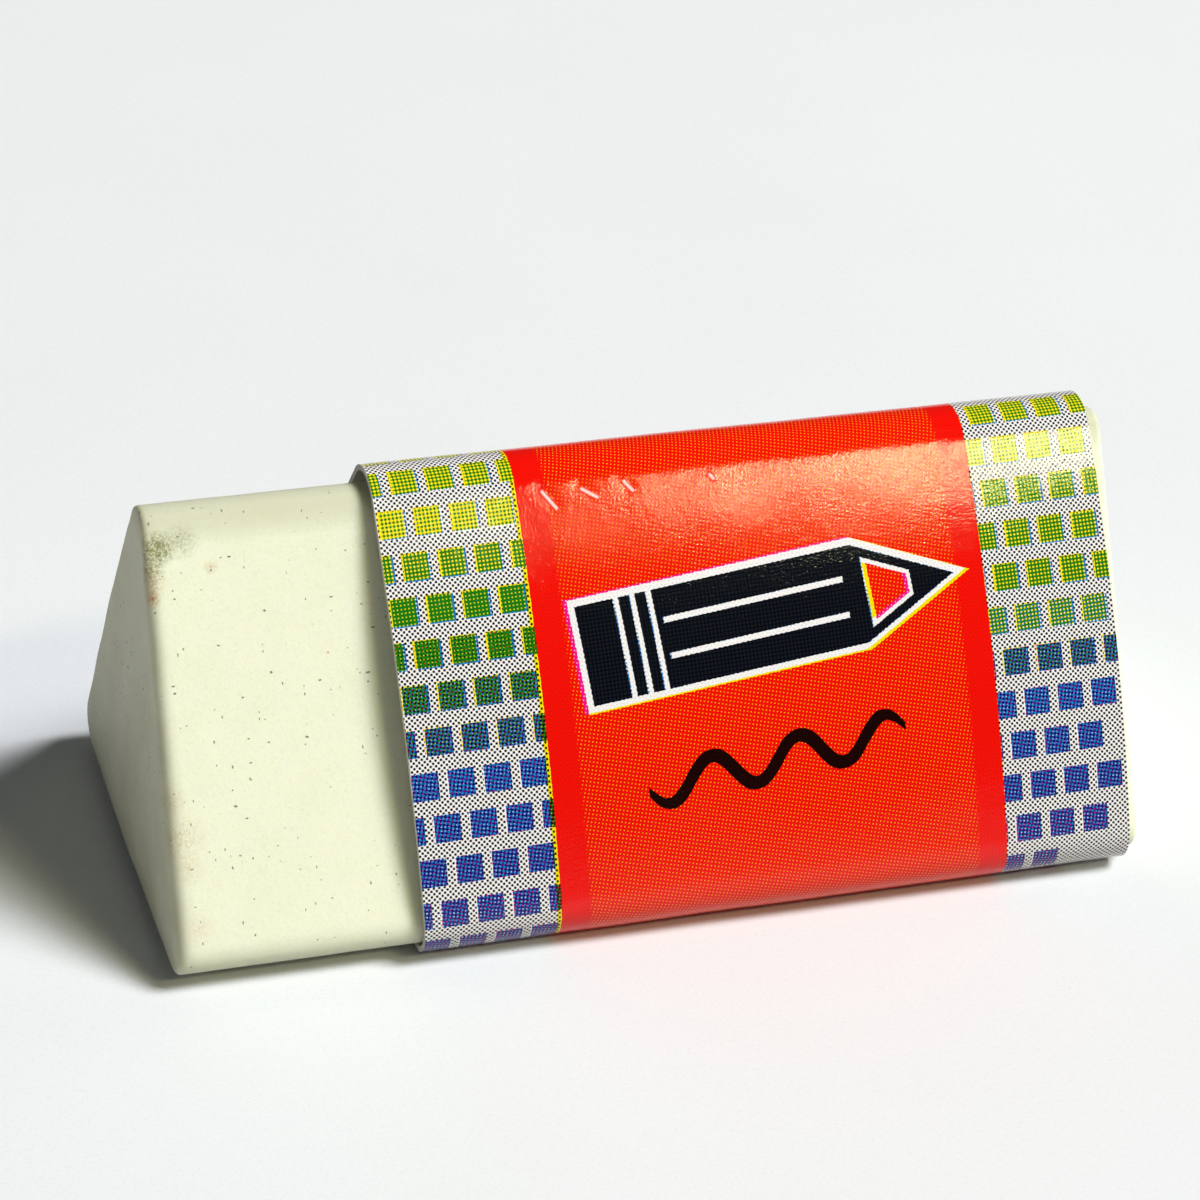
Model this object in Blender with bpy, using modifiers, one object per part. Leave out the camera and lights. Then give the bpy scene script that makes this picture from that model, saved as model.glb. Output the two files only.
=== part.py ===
"""Triangular eraser in a printed paper sleeve.

A soft vinyl block of equal-sided triangular section lies on one of its three long faces, with its
length along X. A folded paper sleeve slides along it. The sheet bows out between its folds, is lapped
on itself on the back face, and a strip of glue holds the lap.
The origin is on the surface that the eraser lies on, under the middle of the block. The printed face
looks towards -Y, and the bare rubbing end is at -X. All sizes are in metres.
"""

import math

import bmesh
import bpy
from mathutils import Matrix, Vector

# The block
BLOCK_LENGTH = 0.0441
BLOCK_WIDTH = 0.0200  # across two round corners, and the same for all three faces
CORNER_RADIUS = 0.0012
END_EDGE_RADIUS = 0.0005  # the softened edges round both ends
END_CUT_LEAN = 0.00035  # how far the top of the rubbing end leans in, from a cut that isn't square

# The sleeve
BARE_LENGTH = 0.0104  # block that shows at the rubbing end
SLEEVE_LENGTH = 0.0329
PAPER_THICKNESS = 0.00025
SLEEVE_CLEARANCE = 0.0003  # paper to block, at the folds and on the lower face
UPPER_FOLD_LIFT = 0.00025  # how much further the paper stands off the block at its upper fold
FACE_BOW = 0.00065  # how far the paper bows out in the middle of each sloping face

# The lap on the back face
OUTER_FLAP_LENGTH = 0.0110  # from the upper fold down to the free edge
LAP_WIDTH = 0.0060  # how far the two flaps overlap
LAP_END_CLEARANCE = 0.0003  # from the inner flap's edge to the step in the outer flap
LAP_STEP_LENGTH = 0.0015  # over which the outer flap rises onto the inner one
GLUE_THICKNESS = 0.0001
GLUE_CLEARANCE = 0.00005  # glue to paper, on both sides
GLUE_EDGE_MARGIN = 0.0008  # bare paper left between the glue and each edge of the lap
GLUE_END_MARGIN = 0.0012  # the same at the sleeve's two open ends

# How finely the round shapes are cut into flats
CORNER_STEPS = 10
FACE_STEPS = 12
LAP_STEP_STEPS = 8
END_EDGE_SEGMENTS = 3

# Colours are linear, and each is followed by a roughness
VINYL = ((0.82, 0.84, 0.69, 1.0), 0.55)
PRINTED_PAPER = ((0.80, 0.060, 0.022, 1.0), 0.25)
DRIED_GLUE = ((0.62, 0.52, 0.32, 1.0), 0.40)

# The faces of an equal-sided triangle, as the directions that they look in, from +Y towards +Z
FACE_SLOPE = math.radians(60)
LOWER_NORMAL = math.radians(-90)
BACK_NORMAL = math.radians(30)
FRONT_NORMAL = math.radians(150)

# Places that follow from the sizes above
SHEET_OFFSET = SLEEVE_CLEARANCE + PAPER_THICKNESS / 2  # from the block's face to the middle of the sheet
FLAP_RISE = PAPER_THICKNESS + GLUE_THICKNESS + 2 * GLUE_CLEARANCE  # from one flap to the other
GLUE_OFFSET = SHEET_OFFSET + FLAP_RISE / 2
BLOCK_BOTTOM = SLEEVE_CLEARANCE + PAPER_THICKNESS  # the block lies in the sleeve, and the sleeve on the table
BLOCK_HEIGHT = (BLOCK_WIDTH - 2 * CORNER_RADIUS) * math.sin(FACE_SLOPE) + 2 * CORNER_RADIUS
INNER_FLAP_EDGE = OUTER_FLAP_LENGTH - LAP_WIDTH  # how far below the upper fold the inner flap ends
SLEEVE_MIDDLE_X = -BLOCK_LENGTH / 2 + BARE_LENGTH + SLEEVE_LENGTH / 2

# Turns an outline drawn in XY, and extruded along Z, into a section in YZ that runs along X
SECTION_TURN = Matrix(((0, 0, 1), (1, 0, 0), (0, 1, 0))).to_4x4()


def corner_centres(lift=0.0):
    """The middles of the three round corners, as (y, z): back, upper and front."""
    span = BLOCK_WIDTH - 2 * CORNER_RADIUS
    low = BLOCK_BOTTOM + CORNER_RADIUS
    high = low + span * math.sin(FACE_SLOPE) + lift
    return Vector((span / 2, low)), Vector((0.0, high)), Vector((-span / 2, low))


def corner_arc(centre, start, end, radius):
    """Points round one corner, from one direction to another."""
    turns = [start + (end - start) * step / CORNER_STEPS for step in range(CORNER_STEPS + 1)]
    return [centre + radius * Vector((math.cos(turn), math.sin(turn))) for turn in turns]


def block_outline():
    """The block's closed section: three round corners, joined by its three flat faces."""
    back, upper, front = corner_centres()
    outline = corner_arc(back, LOWER_NORMAL, BACK_NORMAL, CORNER_RADIUS)
    outline += corner_arc(upper, BACK_NORMAL, FRONT_NORMAL, CORNER_RADIUS)
    outline += corner_arc(front, FRONT_NORMAL, LOWER_NORMAL + 2 * math.pi, CORNER_RADIUS)
    return outline


def section_middle():
    """The middle of the section, which every face looks away from."""
    back, upper, front = corner_centres(UPPER_FOLD_LIFT)
    return (back + upper + front) / 3


def face_point(start, end, distance, offset):
    """A point over the face between two corner middles, bowed out as the paper is between its folds.

    The distance runs from the first corner's end of the flat. The bow is a parabola, and it is square
    to the face, like the offset, which is measured from the block's own surface.
    """
    run = end - start
    share = distance / run.length
    normal = Vector((-run.y, run.x)).normalized()
    if normal.dot(start + end - 2 * section_middle()) < 0.0:
        normal.negate()
    bow = 4 * FACE_BOW * share * (1 - share)
    return start + run * share + normal * (CORNER_RADIUS + offset + bow)


def bowed_face(start, end, offset):
    """The points inside one bowed face, with its two ends left to the folds."""
    length = (end - start).length
    return [face_point(start, end, length * step / FACE_STEPS, offset) for step in range(1, FACE_STEPS)]


def back_face_point(below_fold, offset):
    """A point over the back face, measured down from where the upper fold ends."""
    back, upper, _ = corner_centres(UPPER_FOLD_LIFT)
    return face_point(upper, back, below_fold, offset)


def back_face_run(start, end, offset):
    """Points along a stretch of the back face, with both its ends."""
    steps = [start + (end - start) * step / FACE_STEPS for step in range(FACE_STEPS + 1)]
    return [back_face_point(below_fold, offset) for below_fold in steps]


def lap_step(bottom):
    """The short rise that carries the outer flap over the inner one's edge, from its bottom upwards."""
    points = []
    for step in range(1, LAP_STEP_STEPS + 1):
        share = step / LAP_STEP_STEPS
        rise = FLAP_RISE * (1 + math.cos(math.pi * share)) / 2
        points.append(back_face_point(bottom - LAP_STEP_LENGTH * share, SHEET_OFFSET + rise))
    return points


def sheet_path():
    """The middle of the sheet from its outer edge over the upper fold and round to its inner edge."""
    back, upper, front = corner_centres(UPPER_FOLD_LIFT)
    fold_radius = CORNER_RADIUS + SHEET_OFFSET
    step_bottom = INNER_FLAP_EDGE - LAP_END_CLEARANCE
    path = back_face_run(OUTER_FLAP_LENGTH, step_bottom, SHEET_OFFSET + FLAP_RISE)
    path += lap_step(step_bottom)
    path += corner_arc(upper, BACK_NORMAL, FRONT_NORMAL, fold_radius)
    path += bowed_face(upper, front, SHEET_OFFSET)
    path += corner_arc(front, FRONT_NORMAL, LOWER_NORMAL + 2 * math.pi, fold_radius)
    path += corner_arc(back, LOWER_NORMAL, BACK_NORMAL, fold_radius)
    path += back_face_run((upper - back).length, INNER_FLAP_EDGE, SHEET_OFFSET)[1:]
    return path


def glue_path():
    """The middle of the glue strip, from the lower edge of the lap to the upper one."""
    low = OUTER_FLAP_LENGTH - GLUE_EDGE_MARGIN
    high = INNER_FLAP_EDGE + GLUE_EDGE_MARGIN
    return back_face_run(low, high, GLUE_OFFSET)


def section_curve(name, points, length, closed):
    """A 2D curve through the section's points, extruded by the length and centred on the plane X = 0."""
    curve = bpy.data.curves.new(name, "CURVE")
    curve.dimensions = "2D"
    curve.fill_mode = "BOTH" if closed else "NONE"
    curve.extrude = length / 2
    spline = curve.splines.new("POLY")
    spline.points.add(len(points) - 1)
    for spline_point, point in zip(spline.points, points):
        spline_point.co = (point.x, point.y, 0.0, 1.0)
    spline.use_cyclic_u = closed
    guide = bpy.data.objects.new(name, curve)
    guide.matrix_world = SECTION_TURN
    return guide


def mesh_of_curve(guide, collection):
    """The evaluated curve as a mesh object of the same name, with its caps welded on. The curve is removed."""
    collection.objects.link(guide)
    bpy.context.view_layer.update()
    evaluated = guide.evaluated_get(bpy.context.evaluated_depsgraph_get())
    mesh = bpy.data.meshes.new_from_object(evaluated)
    name = guide.name
    place = guide.matrix_world.copy()
    bpy.data.objects.remove(guide)
    mesh.transform(place)
    welded = bmesh.new()
    welded.from_mesh(mesh)
    bmesh.ops.remove_doubles(welded, verts=welded.verts, dist=1e-7)
    bmesh.ops.dissolve_limit(welded, angle_limit=1e-3, verts=welded.verts, edges=welded.edges)
    welded.to_mesh(mesh)
    welded.free()
    mesh.name = name
    body = bpy.data.objects.new(name, mesh)
    collection.objects.link(body)
    return body


def give_material(body, name, colour, roughness):
    """One Principled material, on the whole of a piece."""
    material = bpy.data.materials.new(name)
    material.use_nodes = True
    shader = material.node_tree.nodes["Principled BSDF"]
    shader.inputs["Base Color"].default_value = colour
    shader.inputs["Roughness"].default_value = roughness
    shader.inputs["Metallic"].default_value = 0.0
    material.diffuse_color = colour
    body.data.materials.append(material)


def shade_round(body):
    """Smooth shading over the corners, with the edges of the ends left sharp."""
    body.data.shade_smooth()
    body.data.set_sharp_from_angle(angle=math.radians(40))


def lean_rubbing_end(block):
    """Leans the end at -X in towards its top, as the slanted cut left it."""
    for vertex in block.data.vertices:
        if vertex.co.x < 0.0:
            vertex.co.x += END_CUT_LEAN * (vertex.co.z - BLOCK_BOTTOM) / BLOCK_HEIGHT


def make_block(collection):
    """The vinyl block: the rounded triangle, extruded, with a slanted cut and soft edges at the ends."""
    guide = section_curve("eraser_block", block_outline(), BLOCK_LENGTH, closed=True)
    block = mesh_of_curve(guide, collection)
    lean_rubbing_end(block)
    soften = block.modifiers.new("soft_end_edges", "BEVEL")
    soften.limit_method = "ANGLE"
    soften.angle_limit = math.radians(60)
    soften.width = END_EDGE_RADIUS
    soften.segments = END_EDGE_SEGMENTS
    shade_round(block)
    give_material(block, "soft_vinyl", *VINYL)
    return block


def make_sheet(name, path, length, thickness, collection, carriage):
    """An open path swept along X and given a thickness, riding on the carriage."""
    guide = section_curve(name, path, length, closed=False)
    sheet = mesh_of_curve(guide, collection)
    sheet.parent = carriage
    wall = sheet.modifiers.new("wall", "SOLIDIFY")
    wall.thickness = thickness
    wall.offset = 0.0
    wall.use_even_offset = True
    shade_round(sheet)
    return sheet


def make_carriage(collection):
    """An empty on the axis that the sleeve slides along, at the middle of the sleeve's length."""
    carriage = bpy.data.objects.new("sleeve_carriage", None)
    carriage.empty_display_size = SLEEVE_LENGTH / 4
    carriage.location = (SLEEVE_MIDDLE_X, 0.0, 0.0)
    collection.objects.link(carriage)
    return carriage


def clear_scene():
    """Removes whatever the file opened with."""
    for item in list(bpy.data.objects):
        bpy.data.objects.remove(item)


def main():
    clear_scene()
    bpy.context.scene.unit_settings.system = "METRIC"
    collection = bpy.data.collections.new("eraser")
    bpy.context.scene.collection.children.link(collection)
    make_block(collection)
    carriage = make_carriage(collection)
    sleeve = make_sheet(
        "paper_sleeve", sheet_path(), SLEEVE_LENGTH, PAPER_THICKNESS, collection, carriage
    )
    give_material(sleeve, "printed_paper", *PRINTED_PAPER)
    glue_length = SLEEVE_LENGTH - 2 * GLUE_END_MARGIN
    glue = make_sheet("seam_glue", glue_path(), glue_length, GLUE_THICKNESS, collection, carriage)
    give_material(glue, "dried_glue", *DRIED_GLUE)


main()
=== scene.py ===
# %% [markdown]
# # An eraser in a printed paper sleeve
# The real thing is a bar of soft white vinyl with a rounded triangular section. It lies on one of its
# long faces. A glossy printed sheet is folded round it, and leaves the rubbing end bare.
# The solid model gives the sizes and what moves. This script gives every surface its looks, so it
# starts with that model, and it works in millimetres, which suit a thing as small as this.

# %% Load the solid model
import math

import bpy
import numpy as np
from mathutils import Matrix, Vector


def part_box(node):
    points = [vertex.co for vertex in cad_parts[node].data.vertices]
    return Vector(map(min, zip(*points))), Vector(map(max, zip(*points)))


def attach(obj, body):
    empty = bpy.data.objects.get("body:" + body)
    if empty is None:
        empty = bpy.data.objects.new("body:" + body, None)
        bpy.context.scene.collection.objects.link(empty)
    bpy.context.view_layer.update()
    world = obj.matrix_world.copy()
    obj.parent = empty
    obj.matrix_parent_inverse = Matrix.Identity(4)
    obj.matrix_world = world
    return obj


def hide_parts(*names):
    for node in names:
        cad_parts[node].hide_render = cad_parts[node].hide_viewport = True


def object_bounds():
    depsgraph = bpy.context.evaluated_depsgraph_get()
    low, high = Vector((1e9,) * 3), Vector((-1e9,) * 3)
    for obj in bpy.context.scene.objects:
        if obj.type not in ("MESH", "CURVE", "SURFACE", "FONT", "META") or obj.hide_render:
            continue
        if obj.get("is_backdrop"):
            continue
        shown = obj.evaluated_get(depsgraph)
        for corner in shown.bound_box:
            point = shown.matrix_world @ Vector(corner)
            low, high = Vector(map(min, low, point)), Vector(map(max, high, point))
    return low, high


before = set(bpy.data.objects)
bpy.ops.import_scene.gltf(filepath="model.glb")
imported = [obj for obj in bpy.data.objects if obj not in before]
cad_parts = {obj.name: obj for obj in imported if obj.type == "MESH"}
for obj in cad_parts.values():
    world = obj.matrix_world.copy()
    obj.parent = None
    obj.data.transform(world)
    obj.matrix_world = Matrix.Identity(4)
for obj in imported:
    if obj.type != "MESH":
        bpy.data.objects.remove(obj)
SOLID_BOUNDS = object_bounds()
MM = 0.001
print("nodes:", sorted(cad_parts))

# %% [markdown]
# ## Sizes
# The block and the sheet share one section: an equal-sided triangle with round corners. Its width is
# read from the solid model. The corner radius and the paper can't be read from a box, so they are
# written here as real sizes.

# %% Measure the block and the sleeve
def box_in_mm(node):
    """The lowest and the highest corner of a solid, in millimetres."""
    return [np.array(corner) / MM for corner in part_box(node)]


BLOCK_LOW, BLOCK_HIGH = box_in_mm("eraser_block")
SLEEVE_LOW, SLEEVE_HIGH = box_in_mm("paper_sleeve")
CORNER_RADIUS = 1.2
PAPER_THICKNESS = 0.25
PAPER_CLEARANCE = 0.3
FACE_LENGTH = BLOCK_HIGH[1] - BLOCK_LOW[1] - 2 * CORNER_RADIUS
print("flat of each face: %.2f mm" % FACE_LENGTH)

# %% [markdown]
# ## The camera
# The photograph looks down on the printed face from its left. A long lens of 130 mm keeps the far end
# nearly as large as the near one. The camera stands on a sphere round a point inside the eraser,
# which makes its place two angles, a distance and a slight roll.

# %% Place the camera
AIM = np.array((-0.91, -0.25, 11.18))
CAMERA_AZIMUTH = math.radians(-19.43)
CAMERA_ELEVATION = math.radians(31.63)
CAMERA_ROLL = math.radians(3.94)
CAMERA_DISTANCE = 192.0
LENS = 130.32


def direction(azimuth, elevation):
    """The unit vector towards an azimuth, from -Y towards +X, and an elevation above the floor."""
    flat = math.cos(elevation)
    return np.array((math.sin(azimuth) * flat, -math.cos(azimuth) * flat, math.sin(elevation)))


def turned_frame(back, roll, place):
    """A matrix at a place whose +Z looks along back, and whose +X is level until the roll turns it."""
    right = np.cross((0.0, 0.0, 1.0), back)
    right /= np.linalg.norm(right)
    level_up = np.cross(back, right)
    across = right * math.cos(roll) + level_up * math.sin(roll)
    axes = np.column_stack((across, np.cross(back, across), back))
    return Matrix.Translation(Vector(place * MM)) @ Matrix(axes.tolist()).to_4x4()


def add_object(name, data):
    """A new object in the scene, at the origin."""
    thing = bpy.data.objects.new(name, data)
    bpy.context.scene.collection.objects.link(thing)
    return thing


def make_camera():
    """The camera on its sphere, looking at the aim."""
    back = direction(CAMERA_AZIMUTH, CAMERA_ELEVATION)
    data = bpy.data.cameras.new("camera")
    data.lens = LENS
    data.sensor_width = 36.0
    data.clip_start = 0.01
    camera = add_object("camera", data)
    camera.matrix_world = turned_frame(back, CAMERA_ROLL, AIM + back * CAMERA_DISTANCE)
    bpy.context.scene.camera = camera
    return camera


camera = make_camera()
print("camera at %s mm" % [round(value / MM, 1) for value in camera.location])

# %% [markdown]
# ## Surfaces from arrays
# Each piece is a surface over two parameters: one runs round the section, one along the length. Numpy
# works out all points at once, and the faces are a grid of quads. The helpers written here serve the
# block, the sheet and the table.

# %% Blends, for arrays here and for node formulas later
def mixed(low, high, share):
    """Low where the share is 0 and high where it is 1."""
    return low + (high - low) * share


def smooth_step(values, low, high):
    """0 below low and 1 above high, with a smooth rise between them."""
    share = np.clip((values - low) / (high - low), 0.0, 1.0)
    return share * share * (3.0 - 2.0 * share)


# %% Turn arrays into a mesh
def grid_quads(rows, columns, start=0, flip=False):
    """The quads of a grid of points that are numbered row by row, as one array of four corners."""
    row, column = np.meshgrid(np.arange(rows - 1), np.arange(columns - 1), indexing="ij")
    first = (start + row * columns + column).ravel()
    quads = np.stack((first, first + 1, first + columns + 1, first + columns), axis=1)
    return quads[:, ::-1] if flip else quads


def strip_quads(first, second):
    """Quads between two lists of points of the same length, which close the gap between two edges."""
    return np.stack((first[:-1], first[1:], second[1:], second[:-1]), axis=1)


def mesh_object(name, points, faces):
    """A smooth mesh object at the origin, from points in millimetres and lists of faces."""
    mesh = bpy.data.meshes.new(name)
    mesh.from_pydata((points * MM).tolist(), [], faces)
    mesh.validate()
    mesh.shade_smooth()
    print("%s: %d faces" % (name, len(mesh.polygons)))
    return add_object(name, mesh)


# %% Slow waves, for surfaces that are never quite flat
def slow_waves(places, longest, shortest, height, seed, count=14):
    """A sum of sine waves in random directions: each has its own length, start and share of the height."""
    chance = np.random.default_rng(seed)
    heading = chance.normal(size=(count, places.shape[-1]))
    heading /= np.linalg.norm(heading, axis=1, keepdims=True)
    lengths = np.geomspace(longest, shortest, count)
    starts = chance.uniform(0.0, 2 * math.pi, count)
    shares = lengths / lengths.sum()
    phases = places @ (heading.T * (2 * math.pi / lengths)) + starts
    return height * 2.0 * (np.sin(phases) * shares).sum(axis=-1)


# %% [markdown]
# ## The block
# The bar is cut from a long moulded strip, so its faces are plain and its ends are flat. The rubbing
# end has softened edges, softest on the front face, and one corner of its flat is worn to a facet.
# A modifier could bevel the edges, but not by a width that changes along the edge, so the end is
# worked out as a quarter circle whose radius is a function of the place on the section.

# %% The section of the block
FACE_POINTS = 52
CORNER_POINTS = 12
CORNERS = np.array((
    (BLOCK_HIGH[1] - CORNER_RADIUS, BLOCK_LOW[2] + CORNER_RADIUS),
    (0.0, BLOCK_HIGH[2] - CORNER_RADIUS),
    (BLOCK_LOW[1] + CORNER_RADIUS, BLOCK_LOW[2] + CORNER_RADIUS),
))
LOWER_TURN, BACK_TURN, FRONT_TURN = np.radians((-90.0, 30.0, 150.0))
FIRST_NORMALS = (LOWER_TURN, BACK_TURN, FRONT_TURN)


def block_section():
    """Points and outward normals round the section: three 120 degree arcs, joined by straight flats."""
    points = []
    normals = []
    for corner in range(3):
        turns = FIRST_NORMALS[corner] + np.linspace(0.0, math.radians(120.0), CORNER_POINTS + 1)
        arc_normals = np.stack((np.cos(turns), np.sin(turns)), axis=1)
        arc = CORNERS[corner] + CORNER_RADIUS * arc_normals
        following = CORNERS[(corner + 1) % 3] + CORNER_RADIUS * arc_normals[-1]
        share = np.linspace(0.0, 1.0, FACE_POINTS + 1)[1:-1, None]
        flat = mixed(arc[-1], following, share)
        points += [arc, flat]
        normals += [arc_normals, np.repeat(arc_normals[-1:], len(flat), axis=0)]
    return np.concatenate(points), np.concatenate(normals)


SECTION, SECTION_NORMALS = block_section()
SECTION_CENTRE = CORNERS.mean(axis=0)
print("points round the block:", len(SECTION))

# %% The rounding, the lean and the wear of the ends
FRONT_ROUNDING = 0.60
TOP_ROUNDING = 0.30
BACK_ROUNDING = 0.06
LOWER_ROUNDING = 0.25
LOWER_REACH = 2.0
TOP_BLEND = (3.0, 1.0)
FAR_ROUNDING = 0.30
CUT_LEAN = 0.35
WEAR_CREASE = np.array((2.1, 3.85))
WEAR_HEADING = np.array((0.932, -0.361))
WEAR_SLOPE = 0.024
WEAR_SHARPNESS = 4.0
WEAR_REACH = 3.0


def rubbing_rounding(section, normals):
    """The radius of the rubbing end's edge: soft on the front face, crisp on the back and below."""
    backness = np.clip(normals[:, 0] / math.cos(BACK_TURN), 0.0, 1.0)
    lowness = 1.0 - smooth_step(section[:, 1] - BLOCK_LOW[2], 0.0, LOWER_REACH)
    highness = smooth_step(section[:, 1], BLOCK_HIGH[2] - TOP_BLEND[0], BLOCK_HIGH[2] - TOP_BLEND[1])
    front = mixed(FRONT_ROUNDING, TOP_ROUNDING, highness)
    return mixed(mixed(front, BACK_ROUNDING, backness), LOWER_ROUNDING, lowness)


def worn_depth(y, z):
    """How far the facet cuts in: a softened ramp that starts at the crease and deepens beyond it."""
    beyond = (y - WEAR_CREASE[0]) * WEAR_HEADING[0] + (z - WEAR_CREASE[1]) * WEAR_HEADING[1]
    return WEAR_SLOPE * np.logaddexp(0.0, WEAR_SHARPNESS * beyond) / WEAR_SHARPNESS


def lean_depth(z):
    """How far the cut leans in, in proportion to the height above the lower face."""
    return CUT_LEAN * (z - BLOCK_LOW[2]) / (BLOCK_HIGH[2] - BLOCK_LOW[2])


# %% The block as one closed surface
END_RINGS = 26
ROUNDING_RINGS = 9
BARE_RINGS = 44
COVERED_RINGS = 40
BARE_SHARE = 0.27
BARE_END = (8.0, 11.0)
WAVE_HEIGHT = 0.02


def end_rings(end, inward, rounding):
    """Rings from the middle of an end face out to its edge, then round the edge onto the sides.

    A ring on the face is the section shrunk towards its middle. A ring on the edge is a step round a
    quarter circle: at angle t it is inset by radius * (1 - sin t) and lies radius * (1 - cos t) inward.
    """
    edge = SECTION - SECTION_NORMALS * rounding[:, None]
    share = np.linspace(0.0, 1.0, END_RINGS + 1)[1:, None, None]
    face = mixed(SECTION_CENTRE, edge, share)
    face_x = np.full(face.shape[:2], end)
    turn = np.linspace(0.0, math.pi / 2, ROUNDING_RINGS + 1)[1:, None]
    inset = rounding * (1.0 - np.sin(turn))
    sides = SECTION - SECTION_NORMALS * inset[:, :, None]
    sides_x = end + inward * rounding * (1.0 - np.cos(turn))
    return np.concatenate((face, sides)), np.concatenate((face_x, sides_x))


def block_points():
    """All rings from the rubbing end to the far end, as an array of rings by points by x, y and z."""
    near, near_x = end_rings(BLOCK_LOW[0], 1.0, rubbing_rounding(SECTION, SECTION_NORMALS))
    far, far_x = end_rings(BLOCK_HIGH[0], -1.0, np.full(len(SECTION), FAR_ROUNDING))
    bare = np.linspace(0.0, BARE_SHARE, BARE_RINGS + 1)[1:]
    covered = np.linspace(BARE_SHARE, 1.0, COVERED_RINGS + 1)[1:-1]
    share = np.concatenate((bare, covered))[:, None]
    middle_x = mixed(near_x[-1], far_x[-1], share)
    middle = np.repeat(SECTION[None], len(share), axis=0)
    rings = np.concatenate((near, middle, far[::-1]))
    along = np.concatenate((near_x, middle_x, far_x[::-1]))
    return np.concatenate((along[:, :, None], rings), axis=2)


def wear_block(points):
    """Leans and wears the rubbing end, and adds the slow unevenness of a soft moulding."""
    from_end = points[..., 0] - BLOCK_LOW[0]
    fade = 1.0 - smooth_step(from_end, 0.0, WEAR_REACH)
    depth = lean_depth(points[..., 2]) + worn_depth(points[..., 1], points[..., 2])
    worn = points.copy()
    worn[..., 0] += depth * fade
    around = np.concatenate((np.zeros((len(SECTION), 1)), SECTION_NORMALS), axis=1)
    bare = 1.0 - smooth_step(from_end, *BARE_END)
    swell = slow_waves(points, 9.0, 2.0, WAVE_HEIGHT, seed=3)
    inner = smooth_step(from_end, 0.0, 1.0)
    worn += around * (np.minimum(swell, 0.0) * bare * inner)[..., None]
    worn[..., 0] += slow_waves(points, 6.0, 1.2, WAVE_HEIGHT, seed=4) * fade
    return worn


def block_faces(rings, around, low_pole, high_pole):
    """Quads between the rings, closed round the section, with a fan of triangles on each pole."""
    ring = np.arange(around)
    following = np.roll(ring, -1)
    starts = np.arange(rings - 1)[:, None] * around
    corners = (starts + ring, starts + following, starts + around + following, starts + around + ring)
    quads = np.stack([corner.ravel() for corner in corners], axis=1)
    last = (rings - 1) * around
    low_fan = np.stack((np.full(around, low_pole), following, ring), axis=1)
    high_fan = np.stack((np.full(around, high_pole), last + ring, last + following), axis=1)
    return quads.tolist() + low_fan.tolist() + high_fan.tolist()


def make_block():
    """The vinyl block."""
    rings = wear_block(block_points())
    flat = rings.reshape(-1, 3)
    poles = np.stack((rings[0].mean(axis=0), rings[-1].mean(axis=0)))
    points = np.concatenate((flat, poles))
    faces = block_faces(rings.shape[0], rings.shape[1], len(flat), len(flat) + 1)
    return mesh_object("eraser_block_soft", points, faces)


block = make_block()
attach(block, "block")
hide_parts("eraser_block")

# %% [markdown]
# ## The sheet of the sleeve
# The sleeve is one sheet of laminated paper. It is folded at the three corners, bows out a little
# between them, and its two flaps lap on the back face. A point of the sheet has two numbers: how far
# it is along the eraser, and how far it is up the sheet, which is measured in millimetres from the
# lower corner of the printed face. The same two numbers become the UV map, so that the print lies on
# the sheet as ink does, and turns over the folds with it.

# %% The stretches of the sheet, from the inner flap to the outer one
FOLD_LIFT = SLEEVE_HIGH[2] - BLOCK_HIGH[2] - PAPER_CLEARANCE - PAPER_THICKNESS
FRONT_LIFT = 0.2
LIFT_START = 0.6
FACE_BOW = 0.65
MIDDLE_OFFSET = PAPER_CLEARANCE + PAPER_THICKNESS / 2
FOLD_LENGTH = (CORNER_RADIUS + PAPER_CLEARANCE + PAPER_THICKNESS) * math.radians(120.0)
OUTER_FLAP = 11.0
LAP = 6.0
LAP_RISE = 0.45
LAP_STEP = 1.5
INNER_FLAP = FACE_LENGTH - (OUTER_FLAP - LAP)

SHEET_CORNERS = CORNERS + np.array(((0.0, 0.0), (0.0, FOLD_LIFT), (0.0, 0.0)))
BACK_CORNER, UPPER_CORNER, FRONT_CORNER = SHEET_CORNERS
SHEET_END = FACE_LENGTH + FOLD_LENGTH + OUTER_FLAP
SHEET_START = -(FOLD_LENGTH + FACE_LENGTH + FOLD_LENGTH + INNER_FLAP)
SHEET_LENGTH = SLEEVE_HIGH[0] - SLEEVE_LOW[0]
print("flat sheet: %.1f mm round, %.1f mm along" % (SHEET_END - SHEET_START, SHEET_LENGTH))


def over_face(start, end, share, normal_turn, offset=MIDDLE_OFFSET, bow=FACE_BOW):
    """Points over a face: a straight run at an offset, bowed out by a parabola that is 0 at both folds."""
    normal = np.array((math.cos(normal_turn), math.sin(normal_turn)))
    out = CORNER_RADIUS + offset + 4.0 * bow * share * (1.0 - share)
    return mixed(start, end, share[:, None]) + normal * out[:, None]


def round_fold(centre, start_turn, share):
    """Points round a fold: an arc of 120 degrees, traced clockwise from its start."""
    turn = start_turn - math.radians(120.0) * share
    return centre + (CORNER_RADIUS + MIDDLE_OFFSET) * np.stack((np.cos(turn), np.sin(turn)), axis=1)


def outer_flap_offset(below_fold):
    """The flap lies close to the block below the fold, then steps up onto the inner flap."""
    step_start = OUTER_FLAP - LAP - LAP_STEP - PAPER_CLEARANCE
    return MIDDLE_OFFSET + LAP_RISE * smooth_step(below_fold, step_start, step_start + LAP_STEP)


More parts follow.
